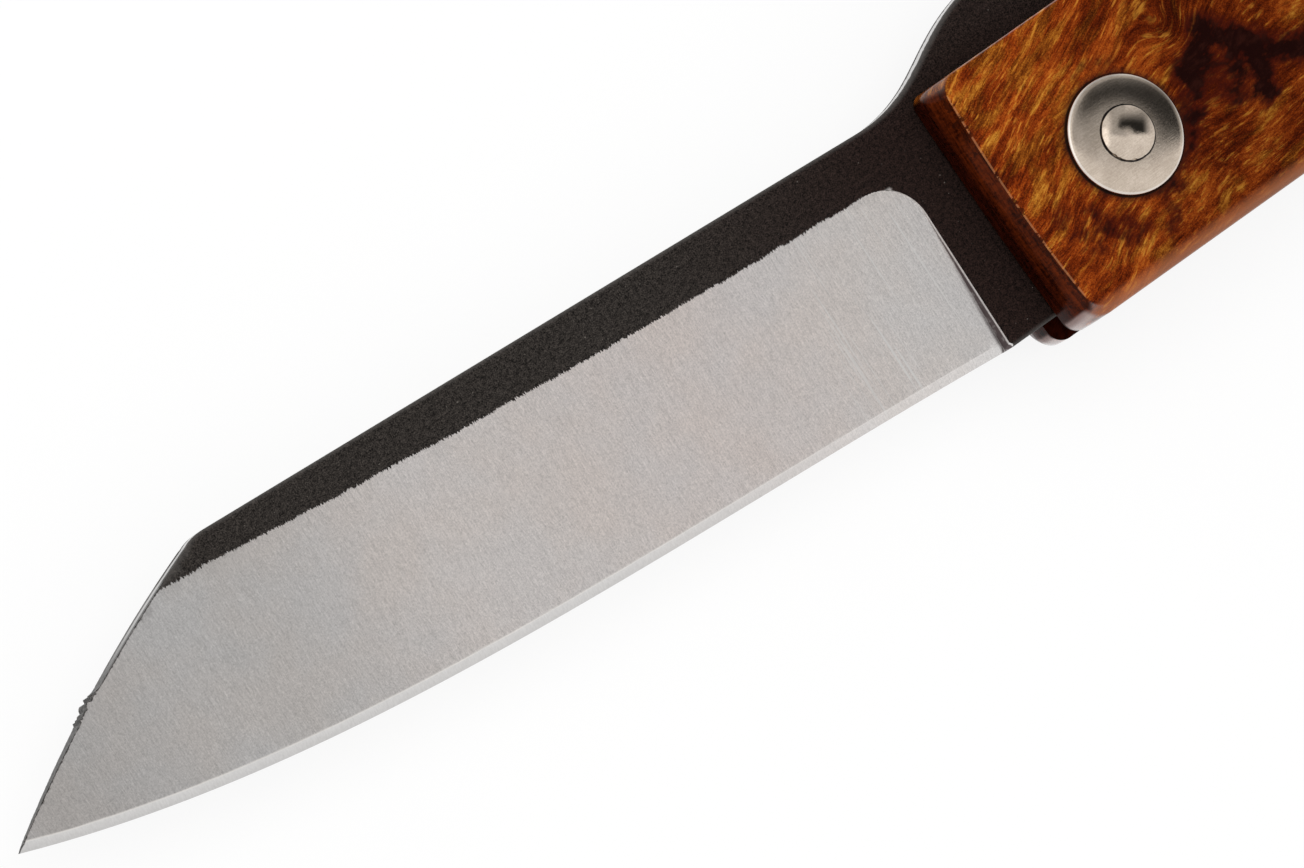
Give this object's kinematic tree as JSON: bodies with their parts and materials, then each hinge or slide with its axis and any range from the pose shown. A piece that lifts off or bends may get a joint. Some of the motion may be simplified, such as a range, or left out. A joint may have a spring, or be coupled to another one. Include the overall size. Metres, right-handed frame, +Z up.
{
  "type": "folding pocket knife",
  "caption": "Folding pocket knife: wooden handle scales around a clipped-point steel blade that turns on a peened pivot and is held open by a thumb lever over the handle's back.",
  "frame": {"origin": "middle of the open knife's box, on the surface that the knife lies on", "axes": "+Z up out of the front scale, +X along the handle towards its butt (the blade points to -X), +Y towards the handle's back, where the thumb lever lies"},
  "size_m": [0.1838, 0.0228, 0.013],
  "materials": {
    "blade_steel": "satin bevels under a black forged skin",
    "scale_wood": "polished, figured",
    "pivot_metal": "polished",
    "spacer_steel": "brushed",
    "pin_metal": "ground flush and polished",
    "bronze": "plain rolled"
  },
  "bodies": {
    "handle": {"front_scale": "scale_wood", "back_scale": "scale_wood", "backspacer": "spacer_steel", "pivot_pin": "pivot_metal", "front_domed_washer": "pivot_metal", "back_domed_washer": "pivot_metal", "front_friction_washer": "bronze", "back_friction_washer": "bronze", "middle_spacer_pin": "pin_metal", "rear_spacer_pin": "pin_metal"},
    "blade": {"blade": "blade_steel"}
  },
  "joints": [
    {"name": "blade_fold", "type": "hinge", "parent": "handle", "child": "blade", "pos_m": [-0.0046, -0.0027, 0.00651], "axis": [0, 0, 1], "range_deg": [0, 183.5]}
  ]
}
